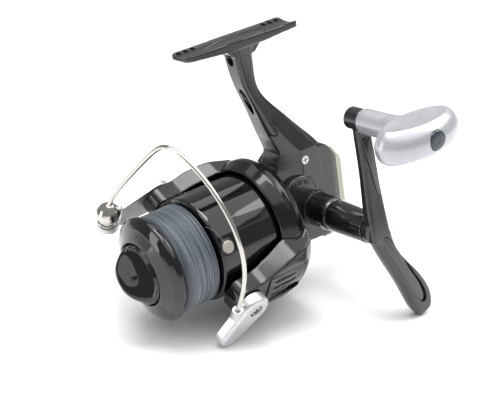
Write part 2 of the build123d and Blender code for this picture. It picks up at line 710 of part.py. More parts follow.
def make_drag_knob():
    """Round base with a rounded bar grip across it."""
    base = turned((74.6, 0), (74.6, 15.4), (76.8, 16.5), (78.8, 16.4), (80.0, 15.2), (80.6, 12.0), (80.9, 0))
    corners = [(76.0, -15.6), (81.0, -15.6), (91.0, -7.0), (91.0, 7.0), (81.0, 15.6), (76.0, 15.6)]
    side = make_face(FilletPolyline(*corners, radius=[1, 4, 7, 7, 4, 1], close=True))
    bar = extrude(side, 4.4, both=True)
    bar = fillet(bar.edges().filter_by(lambda e: e.center().X > 80.5), 1.8)
    knob = base + Rot(KNOB_TURN, 0, 0) * bar
    knob -= rod(74, 86.0, 4.6)
    knob -= rod(74, 76.0, 8.0)
    return knob


KNOB_TURN = -52.0


def make_knob_nut():
    nut = Pos(78.2, 0, 0) * Rot(0, 90, 0) * extrude(RegularPolygon(4.4, 6), 4.0)
    return nut - rod(70, 90, SHAFT_RADIUS + RUNNING)


def make_drag_spring():
    spring = ring(69.4, 78.0, 2.5, 3.0)
    for count in range(5):
        spring += ring(69.5 + 1.8 * count, 70.5 + 1.8 * count, 2.6, 3.6)
    return spring


# ---------------------------------------------------------------- handle

def make_shank():
    shank = rod(9.5, 18, 2.55) + rod(17.45, SLEEVE_END - 1, 4.4)
    for x in SLEEVE_PINS:
        shank -= Pos(x, 0, 0) * Cylinder(0.9, 30)
    return HANDLE * shank


def make_collar():
    front = SLEEVE_START - 0.1
    collar = turned((16.75, 4.45), (16.75, 9.3), (20.0, 9.3), (front - 0.25, 8.75), (front, 8.5),
                    (front, 4.45))
    return HANDLE * collar


def make_sleeve():
    sleeve = turned((SLEEVE_START, 4.45), (SLEEVE_START, 8.4), (SLEEVE_START + 0.4, 8.7), (SLEEVE_END, 7.9),
                    (SLEEVE_END, 4.45))
    for x in SLEEVE_PINS:
        sleeve -= Pos(x, 0, 0) * Cylinder(0.9, 30)
    return HANDLE * sleeve


SLEEVE_PINS = (35.5, 50.6)


def make_sleeve_pins():
    pins = []
    for x in SLEEVE_PINS:
        radius = 8.5 - 0.03 * (x - SLEEVE_START)
        pins.append(HANDLE * (Pos(x, 0, 0) * Cylinder(0.85, 2 * radius)))
    return Compound(children=pins)


def make_arm():
    """The crank arm, its knob boss and the counterweight that leans backwards."""
    stations = [  # height, x centre, y centre, width along x, thickness along y
        (63.0, KNOB_X, 55.6, 8.0, 4.6),
        (52.0, KNOB_X, 55.8, 9.4, 5.2),
        (35.0, -27.9, 57.6, 9.8, 5.2),
        (18.0, -27.2, 59.5, 11.0, 5.8),
        (6.0, -26.6, 61.2, 12.2, 6.4),
        (-5.0, -26.6, 62.4, 12.8, 7.0),
    ]
    sections = []
    for height, x, y, width, thick in stations:
        sections.append(Pos(x, y, height) * RectangleRounded(width, thick, 2.0))
    arm = loft(sections)
    boss = KNOB * rod(KNOB_START - 9.4, KNOB_START - 0.1, 5.7)
    lobe_stations = [  # x, y and z of the centre, tilt, width, thickness
        (-27.4, 62.2, -3.0, 14, 12.6, 7.0),
        (-29.6, 62.8, -11.0, 24, 11.0, 6.8),
        (-33.4, 63.8, -20.0, 28, 10.8, 7.0),
        (-38.4, 64.8, -29.0, 28, 12.6, 7.2),
        (-43.0, 65.8, -38.0, 26, 14.6, 7.4),
        (-46.4, 66.6, -46.6, 22, 14.6, 7.4),
        (-48.6, 67.2, -54.4, 18, 9.0, 6.0),
    ]
    lobe_sections = []
    for x, y, z, tilt, width, thick in lobe_stations:
        lobe_sections.append(Pos(x, y, z) * Rot(0, tilt, 0) * RectangleRounded(width, thick, 2.6))
    hub = HANDLE * rod(SLEEVE_END + 0.05, 62.0, 7.6)
    whole = arm + boss + hub + loft(lobe_sections)
    return whole - KNOB * rod(40, 70, 2.5 + SEAT_GAP)


def make_spindle():
    return KNOB * turned((KNOB_START - 9.0, 0), (KNOB_START - 9.0, 2.5), (101.0, 2.5), (101.0, 0))


PADDLE_LENGTH = 50.0
PADDLE_DEPTH = 27.0
PADDLE_THICKNESS = 17.0
KNOB_BORE = 3.9


def make_knob_shell():
    """A T-shaped paddle on a round neck."""
    plan = Pos(KNOB_X, KNOB_END - PADDLE_DEPTH / 2) * Ellipse(PADDLE_LENGTH / 2, PADDLE_DEPTH / 2)
    paddle = Pos(0, 0, CRANK_RADIUS - PADDLE_THICKNESS / 2) * extrude(plan, PADDLE_THICKNESS)
    paddle = fillet(paddle.edges(), 4.5)
    neck = KNOB * turned((KNOB_START, 0), (KNOB_START, 6.2), (84.0, 6.6), (84.0, 0))
    shell = paddle + neck
    shell -= KNOB * rod(50, KNOB_END + 1, KNOB_BORE)
    shell -= KNOB * rod(KNOB_END - 2.6, KNOB_END + 1, CAP_RADIUS + SEAT_GAP)
    return shell


CAP_RADIUS = 5.6


def make_knob_bushes():
    first = KNOB * ring(KNOB_START + 0.4, KNOB_START + 6.0, 2.5 + RUNNING, KNOB_BORE - SEAT_GAP)
    second = KNOB * ring(93.0, 99.0, 2.5 + RUNNING, KNOB_BORE - SEAT_GAP)
    return Compound(children=[first, second])


def make_knob_screw():
    return KNOB * rod(101.05, 102.8, 3.3)


def make_knob_cap():
    cap = KNOB * rod(KNOB_END - 2.55, KNOB_END, CAP_RADIUS)
    return cap + KNOB * rod(KNOB_END - 4.0, KNOB_END - 2.0, KNOB_BORE - SEAT_GAP)


write("housing", make_housing())
write("side_cover", make_cover())
write("cover_screws", make_cover_screws())
write("rear_guard", make_rear_guard())
write("trim_plate", make_trim())
write("drive_gear", make_drive_gear())
write("drive_shaft", make_drive_shaft())
write("drive_bearings", make_drive_bearings())
write("pinion", make_pinion())
write("pinion_bearing", make_bearing(-9.55, -6.45, 3.4 + RUNNING, 7.0))
write("clutch_ring", ring(-6.25, -0.85, 6.3, 8.5))
write("clutch_rollers", make_clutch_rollers())
write("clutch_sleeve", ring(-6.2, -0.9, 3.4 + SEAT_GAP, 4.6))
write("bearing_retainer", make_retainer())
write("retainer_screws", make_retainer_screws())
write("worm_shaft", make_worm_shaft())
write("guide_rod", make_guide_rod())
write("slider", make_slider())
write("anti_reverse_lever", make_lever())
write("rotor", make_rotor())
write("rotor_nut", make_rotor_nut())
write("bail_arm_cover", arm_cover(1, False))
write("counter_arm_cover", arm_cover(-1, True))
write("arm_cover_screws", make_arm_cover_screws())
write("bail_spring", make_bail_spring())
write("trip_lever", make_trip_lever())
write("bail_lever", make_bail_lever())
write("counter_arm", make_counter_arm())
write("bail_wire", make_wire())
write("bail_pivot_screws", make_pivot_screws())
write("roller_bush", make_roller_bush())
write("line_roller", make_line_roller())
write("roller_cap", make_roller_cap())
write("roller_screw", make_roller_screw())
write("main_shaft", make_main_shaft())
write("slider_screw", make_slider_screw())
write("spool_seat", make_spool_seat())
write("seat_pin", make_seat_pin())
write("click_gear", make_click_gear())
write("click_pawl", make_click_pawl())
write("spool", make_spool())
write("line_winding", make_line())
write("line_clip", make_line_clip())
write("drag_felts", make_drag_felts())
write("keyed_washers", make_keyed_washers())
write("eared_washers", make_eared_washers())
write("drag_retainer", make_drag_retainer())
write("drag_knob", make_drag_knob())
write("knob_nut", make_knob_nut())
write("drag_spring", make_drag_spring())
write("handle_shank", make_shank())
write("handle_collar", make_collar())
write("handle_sleeve", make_sleeve())
write("sleeve_pins", make_sleeve_pins())
write("handle_arm", make_arm())
write("knob_spindle", make_spindle())
write("knob_shell", make_knob_shell())
write("knob_bushes", make_knob_bushes())
write("knob_screw", make_knob_screw())
write("knob_cap", make_knob_cap())
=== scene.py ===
import json
from math import atan2, cos, exp, pi, radians, sin, sqrt

import bmesh
import bpy
from mathutils import Matrix, Vector


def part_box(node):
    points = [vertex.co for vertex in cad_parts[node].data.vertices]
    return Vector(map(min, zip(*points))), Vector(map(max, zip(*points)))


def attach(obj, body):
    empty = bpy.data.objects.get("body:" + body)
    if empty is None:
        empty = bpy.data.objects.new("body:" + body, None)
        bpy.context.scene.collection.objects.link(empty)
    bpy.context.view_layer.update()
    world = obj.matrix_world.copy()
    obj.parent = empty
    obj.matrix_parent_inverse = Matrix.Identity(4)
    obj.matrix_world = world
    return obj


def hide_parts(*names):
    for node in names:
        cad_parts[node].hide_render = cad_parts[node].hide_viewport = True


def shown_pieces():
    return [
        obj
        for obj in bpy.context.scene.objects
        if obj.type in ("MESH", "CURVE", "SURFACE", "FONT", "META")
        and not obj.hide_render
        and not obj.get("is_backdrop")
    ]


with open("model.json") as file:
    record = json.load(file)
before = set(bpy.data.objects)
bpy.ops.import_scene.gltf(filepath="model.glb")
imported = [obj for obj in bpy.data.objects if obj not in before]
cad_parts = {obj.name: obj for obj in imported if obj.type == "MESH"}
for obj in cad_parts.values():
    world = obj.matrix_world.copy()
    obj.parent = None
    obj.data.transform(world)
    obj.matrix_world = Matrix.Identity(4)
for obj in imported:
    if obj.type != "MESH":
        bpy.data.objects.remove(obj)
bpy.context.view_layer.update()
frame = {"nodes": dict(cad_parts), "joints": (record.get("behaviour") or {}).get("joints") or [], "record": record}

# Spinning reel. Shapes are given in millimetres in one of four frames and moved into the row frame:
# AXIS has its origin on the spool axis (+X to the spool's front, +Y to the handle, +Z to the rod),
# BAIL is AXIS turned to the rotor's rest angle (+Z along the bail pivots, towards the line roller),
# HANDLE has +X along the handle axis, and KNOB has +X along the knob's spindle.

MM = 0.001


def middle(node):
    low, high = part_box(node)
    return (low + high) / 2


def joint(name):
    return next(j for j in frame["joints"] if j["name"] == name)


SHAFT = middle("main_shaft")
SHANK = middle("handle_shank")
SPINDLE = middle("knob_spindle")
BAIL_AXIS = joint("bail_open")["axis"]
BAIL_TURN = atan2(-BAIL_AXIS[1], BAIL_AXIS[2])
SCALE = Matrix.Scale(MM, 4)
SIDEWAYS = Matrix.Rotation(pi / 2, 4, "Z")
AXIS = Matrix.Translation((0, 0, SHAFT.z)) @ SCALE
BAIL = AXIS @ Matrix.Rotation(BAIL_TURN, 4, "X")
HANDLE = Matrix.Translation((SHANK.x, 0, SHANK.z)) @ SIDEWAYS @ SCALE
KNOB = Matrix.Translation((SPINDLE.x, 0, SPINDLE.z)) @ SIDEWAYS @ SCALE
# The table's normal: the reel lies on the table, tilted.
UP = Vector((-0.101, 0.096, 0.990)).normalized()


# ---------------------------------------------------------------- materials

def new_material(name):
    material = bpy.data.materials.new(name)
    material.use_nodes = True
    nodes = material.node_tree.nodes
    return material, nodes, material.node_tree.links, nodes["Principled BSDF"]


def mapped_noise(nodes, links, scale, stretch=(1, 1, 1), detail=4.0):
    """Noise in object coordinates: scale in features per metre, times stretch on each axis."""
    place = nodes.new("ShaderNodeTexCoord")
    mapping = nodes.new("ShaderNodeMapping")
    mapping.inputs["Scale"].default_value = stretch
    noise = nodes.new("ShaderNodeTexNoise")
    noise.inputs["Scale"].default_value = scale
    noise.inputs["Detail"].default_value = detail
    links.new(place.outputs["Object"], mapping.inputs["Vector"])
    links.new(mapping.outputs["Vector"], noise.inputs["Vector"])
    return noise.outputs["Fac"]


def ranged(nodes, links, value, low, high, start=0.3, end=0.7):
    node = nodes.new("ShaderNodeMapRange")
    node.inputs["From Min"].default_value = start
    node.inputs["From Max"].default_value = end
    node.inputs["To Min"].default_value = low
    node.inputs["To Max"].default_value = high
    links.new(value, node.inputs["Value"])
    return node.outputs["Result"]


def mixed(nodes, links, value, first, second):
    """A colour between two colours, each four numbers or a socket."""
    node = nodes.new("ShaderNodeMix")
    node.data_type = "RGBA"
    links.new(value, node.inputs["Factor"])
    for socket, colour in (("A", first), ("B", second)):
        target = [s for s in node.inputs if s.name == socket and s.type == "RGBA"][0]
        if isinstance(colour, bpy.types.NodeSocket):
            links.new(colour, target)
        else:
            target.default_value = colour
    return [s for s in node.outputs if s.type == "RGBA"][0]


def add_bump(nodes, links, shader, height, strength, distance):
    relief = nodes.new("ShaderNodeBump")
    relief.inputs["Strength"].default_value = strength
    relief.inputs["Distance"].default_value = distance
    links.new(height, relief.inputs["Height"])
    links.new(relief.outputs["Normal"], shader.inputs["Normal"])


def shade(colour, factor):
    return (colour[0] * factor, colour[1] * factor, colour[2] * factor, 1)


def edge_mask(nodes, links, radius):
    """1 on edges sharper than the bevel radius, 0 on faces."""
    bevel = nodes.new("ShaderNodeBevel")
    bevel.inputs["Radius"].default_value = radius
    bevel.samples = 4
    geometry = nodes.new("ShaderNodeNewGeometry")
    dot = nodes.new("ShaderNodeVectorMath")
    dot.operation = "DOT_PRODUCT"
    links.new(bevel.outputs["Normal"], dot.inputs[0])
    links.new(geometry.outputs["Normal"], dot.inputs[1])
    return ranged(nodes, links, dot.outputs["Value"], 1.0, 0.0, 0.75, 0.98)


# Radius that finds the edges which get a painted highlight, a lighter sheen in the colour.
EDGE_SHEEN_RADIUS = 0.0005     # m
GRAIN_DEPTH = 0.00004         # m
CLOUD_SCALE = 140             # features per metre, of the tint and gloss


def surface(name, colour, metallic=0.0, roughness=0.4, spread=0.12, grain=2500, bump=0.15,
            coat=0.0, coat_roughness=0.05, stretch=(1, 1, 1), smudge=0.06, edge_sheen=0.0,
            edge_sheen_colour=(0.5, 0.5, 0.5, 1), shine=0.5):
    """A painted, moulded or machined surface: colour and gloss vary, the grain is a fine bump, and a painted
    highlight can lighten the sharp edges.
    """
    material, nodes, links, shader = new_material(name)
    cloud = mapped_noise(nodes, links, CLOUD_SCALE, stretch, 3)
    fine = mapped_noise(nodes, links, grain, stretch, 5)
    tint = mixed(nodes, links, ranged(nodes, links, cloud, 0, 1),
                 shade(colour, 1 - spread), shade(colour, 1 + spread))
    # Painted highlight: the sharp edges are lightened, a sheen painted into the base colour.
    if edge_sheen:
        mask = nodes.new("ShaderNodeMath")
        mask.operation = "MULTIPLY"
        links.new(edge_mask(nodes, links, EDGE_SHEEN_RADIUS), mask.inputs[0])
        mask.inputs[1].default_value = edge_sheen
        tint = mixed(nodes, links, mask.outputs["Value"], tint, edge_sheen_colour)
    links.new(tint, shader.inputs["Base Color"])
    shader.inputs["Metallic"].default_value = metallic
    shader.inputs["Specular IOR Level"].default_value = shine
    gloss = ranged(nodes, links, cloud, roughness - smudge, roughness + smudge)
    links.new(gloss, shader.inputs["Roughness"])
    shader.inputs["Coat Weight"].default_value = coat
    shader.inputs["Coat Roughness"].default_value = coat_roughness
    if bump:
        add_bump(nodes, links, shader, fine, bump, GRAIN_DEPTH)
    return material


def line_material():
    """Monofilament, glossy: fine streaks round the pack, from near black to a bright grey-blue that is a painted
    highlight along the turns.
    """
    material, nodes, links, shader = new_material("nylon_line")
    streak = mapped_noise(nodes, links, 1, (2600, 24, 24), 6)
    broad = mapped_noise(nodes, links, 1, (500, 30, 30), 3)
    # Painted highlight: the bright end of the streaks stands in for light glinting along the turns.
    tone = mixed(nodes, links, ranged(nodes, links, streak, 0, 1, 0.36, 0.64),
                 (0.010, 0.013, 0.019, 1), (0.24, 0.27, 0.32, 1))
    tone = mixed(nodes, links, ranged(nodes, links, broad, 0, 0.55), tone, (0.040, 0.050, 0.066, 1))
    links.new(tone, shader.inputs["Base Color"])
    links.new(ranged(nodes, links, streak, 0.22, 0.42), shader.inputs["Roughness"])
    shader.inputs["Coat Weight"].default_value = 0.35
    shader.inputs["Coat Roughness"].default_value = 0.2
    add_bump(nodes, links, shader, streak, 0.8, 0.0001)
    return material


def felt_material():
    material, nodes, links, shader = new_material("oiled_felt")
    fibres = mapped_noise(nodes, links, 1800, (1, 3, 3), 8)
    tone = mixed(nodes, links, fibres, (0.10, 0.09, 0.08, 1), (0.34, 0.31, 0.27, 1))
    links.new(tone, shader.inputs["Base Color"])
    shader.inputs["Roughness"].default_value = 0.85
    shader.inputs["Sheen Weight"].default_value = 0.4
    add_bump(nodes, links, shader, fibres, 0.7, 0.00015)
    return material


TURNED = (6, 1, 1)        # turning marks of pieces turned about X
MATERIALS = {
    # A lighter edge colour below is a painted highlight along the sharp edges.
    "case_black": surface("case_paint", (0.013, 0.014, 0.016), 0.0, 0.24, coat=0.5,
                          coat_roughness=0.16, edge_sheen=0.3, edge_sheen_colour=(0.06, 0.062, 0.066, 1)),
    "rotor_black": surface("rotor_paint", (0.005, 0.005, 0.006), 0.0, 0.20, coat=0.4,
                           coat_roughness=0.07, bump=0.05, shine=0.25, edge_sheen=0.2,
                           edge_sheen_colour=(0.05, 0.052, 0.055, 1)),
    "handle_black": surface("handle_paint", (0.016, 0.017, 0.020), 0.1, 0.22, coat=0.6,
                            coat_roughness=0.12, bump=0.06, edge_sheen=0.2,
                            edge_sheen_colour=(0.07, 0.072, 0.076, 1)),
    "sleeve_gloss": surface("sleeve_gloss", (0.006, 0.006, 0.007), 0.0, 0.13, coat=0.9,
                            coat_roughness=0.05, bump=0.04, smudge=0.03),
    "spool_gloss": surface("spool_lacquer", (0.003, 0.003, 0.004), 0.0, 0.07, coat=0.6,
                           coat_roughness=0.02, bump=0.015, smudge=0.02, shine=0.35),
    "guard_champagne": surface("guard_paint", (0.40, 0.44, 0.33), 0.3, 0.34, spread=0.05,
                               coat=0.3),
    "silver": surface("satin_silver", (0.60, 0.60, 0.62), 0.75, 0.34, spread=0.03, bump=0.1),
    "steel": surface("ground_steel", (0.45, 0.45, 0.46), 1.0, 0.26, spread=0.08,
                     stretch=TURNED, bump=0.2),
    "wire_steel": surface("polished_wire", (0.58, 0.56, 0.52), 1.0, 0.13, spread=0.03,
                          bump=0.03, smudge=0.03),
    "brass": surface("turned_brass", (0.60, 0.42, 0.16), 1.0, 0.28, stretch=TURNED),
    "zinc": surface("cast_zinc", (0.40, 0.40, 0.39), 0.9, 0.42, grain=1500, bump=0.4),
    "line": line_material(),
    "felt": felt_material(),
    "nylon": surface("moulded_nylon", (0.65, 0.63, 0.58), 0.0, 0.45, spread=0.05),
    "knob_pearl": surface("pearl_paint", (0.46, 0.47, 0.50), 0.45, 0.31, spread=0.03, coat=0.35,
                          coat_roughness=0.16, bump=0),
    "cap_blue": surface("cap_paint", (0.020, 0.027, 0.042), 0.1, 0.28, coat=0.5),
    "clip_beige": surface("clip_plastic", (0.36, 0.34, 0.30), 0.2, 0.33, spread=0.05, coat=0.3),
    # Not a slot of the record: the windows' panes, a near black that is painted shade for their recesses.
    "recess": surface("recess_painted_shade", (0.004, 0.004, 0.005), 0.0, 0.30, bump=0.4, grain=1800),
}


# ---------------------------------------------------------------- mesh tools

OWN_GAP = 1e-7      # m, between points of the meshes made here that are one point
CAD_GAP = 2e-6      # m, the same for CAD nodes and tubes


def new_object(name, data):
    thing = bpy.data.objects.new(name, data)
    bpy.context.scene.collection.objects.link(thing)
    return thing


def weld(mesh, gap):
    """Joins points closer than gap and turns the faces outwards."""
    work = bmesh.new()
    work.from_mesh(mesh)
    bmesh.ops.remove_doubles(work, verts=work.verts, dist=gap)
    bmesh.ops.recalc_face_normals(work, faces=work.faces)
    work.to_mesh(mesh)
    work.free()


def add_mesh(name, verts, faces, space):
    mesh = bpy.data.meshes.new(name)
    mesh.from_pydata([space @ Vector(v) for v in verts], [], faces)
    weld(mesh, OWN_GAP)
    return new_object(name, mesh)


def evaluated(thing):
    graph = bpy.context.evaluated_depsgraph_get()
    return bpy.data.meshes.new_from_object(thing.evaluated_get(graph))


def bake(piece):
    """Applies the piece's modifiers."""
    mesh = evaluated(piece)
    piece.modifiers.clear()
    piece.data = mesh
    return piece


def finish(piece, body, slot, replaces=(), sharp=35.0):
    """Shading, material, body and the CAD nodes that the piece stands for."""
    bake(piece)
    piece.data.shade_smooth()
    piece.data.set_sharp_from_angle(angle=radians(sharp))
    piece.data.materials.clear()
    piece.data.materials.append(MATERIALS[slot])
    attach(piece, body)
    if replaces:
        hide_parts(*replaces)
    return piece


def soften(points, radius, steps=4):
    """Rounds the corners of a closed outline of two-number points."""
    result = []
    for i, corner in enumerate(points):
        here = Vector(corner)
        before = Vector(points[i - 1]) - here
        after = Vector(points[(i + 1) % len(points)]) - here
        if before.length < 1e-6 or after.length < 1e-6:
            result.append(here)
            continue
        start = here + before.normalized() * min(radius, 0.45 * before.length)
        end = here + after.normalized() * min(radius, 0.45 * after.length)
        for k in range(steps + 1):
            t = k / steps
            result.append(start * (1 - t) ** 2 + here * 2 * t * (1 - t) + end * t * t)
    return result


def turned(name, outline, space, segments=128, radius=0.0):
    """A body turned about X from a closed outline of (x, radius) points, rounded by radius."""
    if radius:
        outline = soften(outline, radius)
    verts = []
    for k in range(segments):
        angle = 2 * pi * k / segments
        verts += [(x, r * cos(angle), r * sin(angle)) for x, r in outline]
    count = len(outline)
    faces = []
    for k in range(segments):
        for i in range(count):
            j = (i + 1) % count
            if outline[i][1] < 1e-4 and outline[j][1] < 1e-4:
                continue
            nxt = (k + 1) % segments
            faces.append((k * count + i, k * count + j, nxt * count + j, nxt * count + i))
    return add_mesh(name, verts, faces, space)


def loft(name, sections, space):
    """A closed skin over rings of the same number of points, with capped ends."""
    count = len(sections[0])
    verts = [p for ring in sections for p in ring]
    faces = [tuple(range(count - 1, -1, -1))]
    for s in range(len(sections) - 1):
        for i in range(count):
            j = (i + 1) % count
            here, above = s * count, (s + 1) * count
            faces.append((here + i, here + j, above + j, above + i))
    last = (len(sections) - 1) * count
    faces.append(tuple(range(last, last + count)))
    return add_mesh(name, verts, faces, space)


def prism(name, outline, low, high, space, plane="xy"):
    """A closed outline pushed from low to high across its plane."""
    def put(a, b, c):
        return {"xy": (a, b, c), "xz": (a, c, b), "yz": (c, a, b)}[plane]
    return loft(name, [[put(a, b, c) for a, b in outline] for c in (low, high)], space)


def tube(name, points, radius, space, sides=16, resolution=8):
    """A round tube along a smooth curve led by control points; radius may be one per point."""
    curve = bpy.data.curves.new(name, "CURVE")
    curve.dimensions = "3D"
    spline = curve.splines.new("NURBS")
    spline.points.add(len(points) - 1)
    radii = radius if isinstance(radius, (list, tuple)) else [radius] * len(points)
    for point, target, size in zip(spline.points, points, radii):
        point.co = (*(space @ Vector(target)), 1)
        point.radius = size
    spline.order_u = 4
    spline.use_endpoint_u = True
    spline.resolution_u = resolution
    curve.bevel_depth = MM
    curve.bevel_resolution = sides // 4
    curve.use_fill_caps = True
    holder = new_object(name, curve)
    piece = new_object(name, evaluated(holder))
    bpy.data.objects.remove(holder)
    weld(piece.data, CAD_GAP)
    return piece


def copy_of(node, name):
    piece = new_object(name, frame["nodes"][node].data.copy())
    weld(piece.data, CAD_GAP)
    return piece


def cut(piece, tools, operation="DIFFERENCE", solver="EXACT"):
    """Takes the tools away from the piece, or joins them to it, and removes them."""
    for tool in tools:
        change = piece.modifiers.new("cut", "BOOLEAN")
        change.operation = operation
        change.solver = solver
        change.object = tool
        bake(piece)
        bpy.data.objects.remove(tool)
    return piece


def soft_cast(piece, voxel, rounds, keep=1.0):
    """Rounds every edge as a casting's are: remesh at voxel mm, relax, keep part of the mesh."""
    grid = piece.modifiers.new("grid", "REMESH")
    grid.mode = "VOXEL"
    grid.voxel_size = voxel * MM
    relax = piece.modifiers.new("relax", "SMOOTH")
    relax.factor = 0.5
    relax.iterations = rounds
    bake(piece)
    return thin_out(piece, keep) if keep < 1 else piece


def thin_out(piece, keep):
    thin = piece.modifiers.new("thin", "DECIMATE")
    thin.ratio = keep
    return bake(piece)


def soft_edges(piece, width, segments=2, angle=35):
    """Bevels the edges sharper than the angle, in degrees; the width is in millimetres."""
    edge = piece.modifiers.new("edge", "BEVEL")
    edge.width = width * MM
    edge.segments = segments
    edge.limit_method = "ANGLE"
    edge.angle_limit = radians(angle)
    return bake(piece)


def rounded_box(half_x, half_y, radius):
    return soften([(-half_x, -half_y), (half_x, -half_y), (half_x, half_y), (-half_x, half_y)],
                  radius)


def circle(x, y, radius, sides):
    steps = [2 * pi * k / sides for k in range(sides)]
    return [(x + radius * cos(a), y + radius * sin(a)) for a in steps]


# ---------------------------------------------------------------- camera, light and table

SENSOR_WIDTH = 36.0                      # mm
FOCAL_LENGTH = 77.9                      # mm
CAMERA_PLACE = (304.5, 432.7, 245.5)     # in the AXIS frame, as the target is
CAMERA_TARGET = (6.1, 0.2, 11.8)
CAMERA_ROLL = radians(-8.74)
WORLD_STRENGTH = 0.35
SKY_STRENGTH = 2.5
SKY_ANGLE = radians(95)                  # a very wide sun, for soft shadows
SKY_DIRECTION = (-0.2, 0.2, 1)
TABLE_HALF = 4.0                         # m
TABLE_GAP = 0.0002                       # m, below the reel's lowest point


def looking_down(back):
    """The turn that points a camera's or a lamp's -Z away from back."""
    return back.to_track_quat("Z", "Y").to_matrix().to_4x4()


def make_camera():
    lens = bpy.data.cameras.new("camera")
    lens.sensor_width = SENSOR_WIDTH
    lens.lens = FOCAL_LENGTH
    camera = new_object("camera", lens)
    place = AXIS @ Vector(CAMERA_PLACE)
    back = (place - AXIS @ Vector(CAMERA_TARGET)).normalized()
    roll = Matrix.Rotation(CAMERA_ROLL, 4, "Z")
    camera.matrix_world = Matrix.Translation(place) @ looking_down(back) @ roll
    bpy.context.scene.camera = camera


def make_light(name, place, size, power, target=(0, 20, 10)):
    """A soft box; place and target are in the AXIS frame in millimetres, size in metres."""
    data = bpy.data.lights.new(name, "AREA")
    data.shape = "RECTANGLE"
    data.size, data.size_y = size
    data.energy = power
    lamp = new_object(name, data)
    position = AXIS @ Vector(place)
    back = (position - AXIS @ Vector(target)).normalized()
    lamp.matrix_world = Matrix.Translation(position) @ looking_down(back)


def make_world():
    world = bpy.data.worlds.new("studio")
    bpy.context.scene.world = world
    world.use_nodes = True
    background = world.node_tree.nodes["Background"]
    background.inputs["Color"].default_value = (1, 1, 1, 1)
    background.inputs["Strength"].default_value = WORLD_STRENGTH


def make_floor():
    """A pale table under the reel's lowest point at rest."""
    lowest = min(UP.dot(piece.matrix_world @ vertex.co)
                 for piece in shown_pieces() for vertex in piece.data.vertices)
    side = UP.cross(Vector((0, 1, 0))).normalized()
    across = UP.cross(side)
    centre = UP * (lowest - TABLE_GAP)
    corners = [centre + side * a * TABLE_HALF + across * b * TABLE_HALF
               for a, b in ((-1, -1), (1, -1), (1, 1), (-1, 1))]
    floor = add_mesh("table", corners, [(0, 1, 2, 3)], Matrix.Identity(4))
    material, nodes, links, shader = new_material("table_top")
    tone = mapped_noise(nodes, links, 6)
    tint = mixed(nodes, links, tone, (0.86, 0.86, 0.86, 1), (0.90, 0.90, 0.90, 1))
    links.new(tint, shader.inputs["Base Color"])
    shader.inputs["Roughness"].default_value = 0.6
    floor.data.materials.append(material)
    floor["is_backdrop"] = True


def make_studio():
    make_camera()
    make_world()
    make_light("top_box", (40, 40, 800), (0.5, 0.3), 4.0)
    make_light("left_box", (780, -220, 300), (0.25, 0.5), 1.4)
    make_light("rear_box", (-600, 300, 520), (0.5, 0.5), 3.0)
    sun = bpy.data.lights.new("sky_light", "SUN")
    sun.energy = SKY_STRENGTH
    sun.angle = SKY_ANGLE
    lamp = new_object("sky_light", sun)
    lamp.matrix_world = looking_down(Vector(SKY_DIRECTION))
    bpy.context.scene.view_settings.view_transform = "Standard"


# ---------------------------------------------------------------- body: case, stem and foot

FOOT_TOP = 101.3
TROUGH_RADIUS = 18.2      # the foot's trough, which sits against the rod
TROUGH_DEPTH = 1.4
SCALLOP_RADIUS = 1.5
SCALLOP_DEPTH = 1.2
SCALLOP_Y = 5.0
SCALLOP_PLACES = (31.0, 26.8, 22.6)
GROOVE_RADIUS = 0.5
FOOT_ARC = [(-19, 1.0), (-12, 4.0), (0, 5.6), (12, 4.0), (19, 1.0)]
STEM_SLOT = [(4.2, 0.6, 74.5), (0.9, 0.6, 69.5), (-3.2, 0.6, 64.0), (-7.2, 0.6, 57.5)]
STEM_SLOT_RADII = [2.2, 2.7, 2.6, 2.0]
FOOT_HOLLOW = [(9.0, -1.5, 93.0), (5.0, -0.5, 90.6), (2.6, 0, 88.8)]


def make_housing():
    """The case with its flank, cut by the foot's scallops and grooves and the stem's slot."""
    body = copy_of("housing", "case_and_stem")
    cut(body, [make_shoulder()], "UNION")
    soft_cast(body, 0.42, 6)
    tools = []
    for end in (-1, 1):
        for place in SCALLOP_PLACES:
            for side in (-1, 1):
                outline = circle(end * place, SCALLOP_Y * side, SCALLOP_RADIUS, 24)
                bottom = FOOT_TOP - SCALLOP_DEPTH
                tools.append(prism("scallop", outline, bottom, FOOT_TOP + 2, AXIS))
    for side in (-1, 1):
        arc = [(x, y * side, trough(y)) for x, y in FOOT_ARC]
        tools.append(tube("foot_groove", arc, GROOVE_RADIUS, AXIS, 12, 6))
    tools.append(tube("stem_slot", STEM_SLOT, STEM_SLOT_RADII, AXIS, 16, 8))
    tools.append(tube("foot_hollow", FOOT_HOLLOW, 2.6, AXIS, 16, 6))
    cut(body, tools, solver="MANIFOLD")
    thin_out(body, 0.55)
    finish(body, "body", "case_black", ["housing"], 50)


# Height, front x and half width, crease x and half width, rear x.
SHOULDER_STATIONS = [
    (62.0, -3.9, 3.4, -8.0, 6.1, -11.5),
    (53.0, -6.6, 4.6, -11.5, 7.7, -18.5),
    (46.5, -8.5, 5.4, -13.8, 9.2, -24.0),
    (40.0, -10.7, 6.2, -17.8, 11.1, -29.0),
    (34.5, -12.5, 6.8, -22.0, 13.05, -33.0),
    (30.5, -11.2, 6.9, -22.5, 13.1, -34.0),
    (25.0, -8.4, 6.8, -22.6, 13.1, -35.0),
    (16.0, -8.3, 6.8, -22.6, 13.1, -35.0),
]
SHOULDER_STRIPS = 10      # between one station and the next


